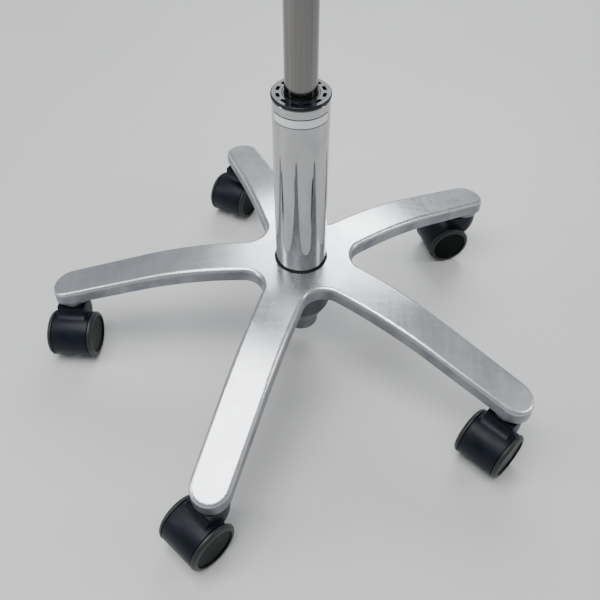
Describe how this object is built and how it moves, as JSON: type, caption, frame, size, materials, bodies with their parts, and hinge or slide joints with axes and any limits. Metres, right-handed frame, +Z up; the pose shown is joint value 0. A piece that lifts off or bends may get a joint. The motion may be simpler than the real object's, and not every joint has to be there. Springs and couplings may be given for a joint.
{
  "type": "mobile iv pole",
  "caption": "Mobile IV pole: polished cast star base on twin-wheel castors, chromed gas-lift column, sliding and turning satin pole, telescopic rod with upturned hooks.",
  "frame": {"origin": "the point on the floor under the column's axis, in the plane that the castors stand on", "axes": "+Z up along the column, +X towards the clamp knob, +Y towards the back"},
  "size_m": [0.5929, 0.6484, 1.3015],
  "materials": {
    "cast_aluminium": "satin polished casting",
    "chrome_tube": "bright chrome plate",
    "satin_stainless": "finely brushed along the pole",
    "black_collar": "slightly glossy",
    "dark_acetal": "smooth matt",
    "black_rubber": "matt",
    "foil_label": "blank silvery foil",
    "dark_casting": "dark cast metal",
    "zinc_steel": "zinc plated",
    "black_steel": "black paint",
    "bright_steel": "polished",
    "black_knob": "matt moulded",
    "castor_nylon": "satin moulded",
    "wheel_nylon": "satin with worn rims"
  },
  "bodies": {
    "base": {"star_base": "cast_aluminium", "stem_sockets": "zinc_steel", "column_tube": "chrome_tube", "column_seal": "black_rubber", "column_collar": "black_collar", "guide_bush_upper": "dark_acetal", "column_label": "foil_label", "column_foot": "dark_casting", "foot_washer": "zinc_steel", "foot_nut": "zinc_steel", "gas_spring_cylinder": "black_steel"},
    "lift": {"gas_spring_rod": "bright_steel", "gas_spring_piston": "dark_acetal", "thrust_disc": "bright_steel"},
    "pole": {"inner_pole": "satin_stainless", "pole_plug": "zinc_steel", "pole_guide_ring": "dark_acetal", "clamp_collar": "black_collar"},
    "knob": {"lock_knob": "black_knob", "lock_stud": "zinc_steel"},
    "rod": {"upper_rod": "satin_stainless", "hook_hub": "chrome_tube", "hook_1": "bright_steel", "hook_2": "bright_steel", "hook_3": "bright_steel", "hook_4": "bright_steel", "top_cap": "black_collar"},
    "castor_1": {"castor_1_stem": "zinc_steel", "castor_1_hood": "castor_nylon", "castor_1_axle": "bright_steel"},
    "castor_1_left": {"castor_1_wheel_left": "wheel_nylon"},
    "castor_1_right": {"castor_1_wheel_right": "wheel_nylon"},
    "castor_2": {"castor_2_stem": "zinc_steel", "castor_2_hood": "castor_nylon", "castor_2_axle": "bright_steel"},
    "castor_2_left": {"castor_2_wheel_left": "wheel_nylon"},
    "castor_2_right": {"castor_2_wheel_right": "wheel_nylon"},
    "castor_3": {"castor_3_stem": "zinc_steel", "castor_3_hood": "castor_nylon", "castor_3_axle": "bright_steel"},
    "castor_3_left": {"castor_3_wheel_left": "wheel_nylon"},
    "castor_3_right": {"castor_3_wheel_right": "wheel_nylon"},
    "castor_4": {"castor_4_stem": "zinc_steel", "castor_4_hood": "castor_nylon", "castor_4_axle": "bright_steel"},
    "castor_4_left": {"castor_4_wheel_left": "wheel_nylon"},
    "castor_4_right": {"castor_4_wheel_right": "wheel_nylon"},
    "castor_5": {"castor_5_stem": "zinc_steel", "castor_5_hood": "castor_nylon", "castor_5_axle": "bright_steel"},
    "castor_5_left": {"castor_5_wheel_left": "wheel_nylon"},
    "castor_5_right": {"castor_5_wheel_right": "wheel_nylon"}
  },
  "joints": [
    {"name": "pole_lift", "type": "slide", "parent": "base", "child": "lift", "axis": [0, 0, 1], "range_m": [-0.08, 0.1]},
    {"name": "pole_turn", "type": "hinge", "parent": "lift", "child": "pole", "pos_m": [0, 0, 0.45], "axis": [0, 0, 1], "continuous": true},
    {"name": "knob_turn", "type": "hinge", "parent": "pole", "child": "knob", "pos_m": [0.035, 0, 0.894], "axis": [1, 0, 0], "range_deg": [0, 270]},
    {"name": "rod_slide", "type": "slide", "parent": "pole", "child": "rod", "axis": [0, 0, 1], "range_m": [0, 0.3]},
    {"name": "castor_1_swivel", "type": "hinge", "parent": "base", "child": "castor_1", "pos_m": [-0.09178, -0.28246, 0.072], "axis": [0, 0, 1], "continuous": true},
    {"name": "castor_1_left_spin", "type": "hinge", "parent": "castor_1", "child": "castor_1_left", "pos_m": [-0.11087, -0.30294, 0.03], "axis": [0.7314, -0.682, 0], "continuous": true},
    {"name": "castor_1_right_spin", "type": "hinge", "parent": "castor_1", "child": "castor_1_right", "pos_m": [-0.11087, -0.30294, 0.03], "axis": [0.7314, -0.682, 0], "continuous": true},
    {"name": "castor_2_swivel", "type": "hinge", "parent": "base", "child": "castor_2", "pos_m": [0.24028, -0.17457, 0.072], "axis": [0, 0, 1], "continuous": true},
    {"name": "castor_2_left_spin", "type": "hinge", "parent": "castor_2", "child": "castor_2_left", "pos_m": [0.22065, -0.19454, 0.03], "axis": [0.7133, -0.7009, 0], "continuous": true},
    {"name": "castor_2_right_spin", "type": "hinge", "parent": "castor_2", "child": "castor_2_right", "pos_m": [0.22065, -0.19454, 0.03], "axis": [0.7133, -0.7009, 0], "continuous": true},
    {"name": "castor_3_swivel", "type": "hinge", "parent": "base", "child": "castor_3", "pos_m": [0.24028, 0.17457, 0.072], "axis": [0, 0, 1], "continuous": true},
    {"name": "castor_3_left_spin", "type": "hinge", "parent": "castor_3", "child": "castor_3_left", "pos_m": [0.21338, 0.16681, 0.03], "axis": [0.2773, -0.9608, 0], "continuous": true},
    {"name": "castor_3_right_spin", "type": "hinge", "parent": "castor_3", "child": "castor_3_right", "pos_m": [0.21338, 0.16681, 0.03], "axis": [0.2773, -0.9608, 0], "continuous": true},
    {"name": "castor_4_swivel", "type": "hinge", "parent": "base", "child": "castor_4", "pos_m": [-0.09178, 0.28246, 0.072], "axis": [0, 0, 1], "continuous": true},
    {"name": "castor_4_left_spin", "type": "hinge", "parent": "castor_4", "child": "castor_4_left", "pos_m": [-0.10501, 0.25779, 0.03], "axis": [0.8813, -0.4726, 0], "continuous": true},
    {"name": "castor_4_right_spin", "type": "hinge", "parent": "castor_4", "child": "castor_4_right", "pos_m": [-0.10501, 0.25779, 0.03], "axis": [0.8813, -0.4726, 0], "continuous": true},
    {"name": "castor_5_swivel", "type": "hinge", "parent": "base", "child": "castor_5", "pos_m": [-0.297, 0, 0.072], "axis": [0, 0, 1], "continuous": true},
    {"name": "castor_5_left_spin", "type": "hinge", "parent": "castor_5", "child": "castor_5_left", "pos_m": [-0.29881, -0.02794, 0.03], "axis": [0.9979, -0.0645, 0], "continuous": true},
    {"name": "castor_5_right_spin", "type": "hinge", "parent": "castor_5", "child": "castor_5_right", "pos_m": [-0.29881, -0.02794, 0.03], "axis": [0.9979, -0.0645, 0], "continuous": true}
  ]
}
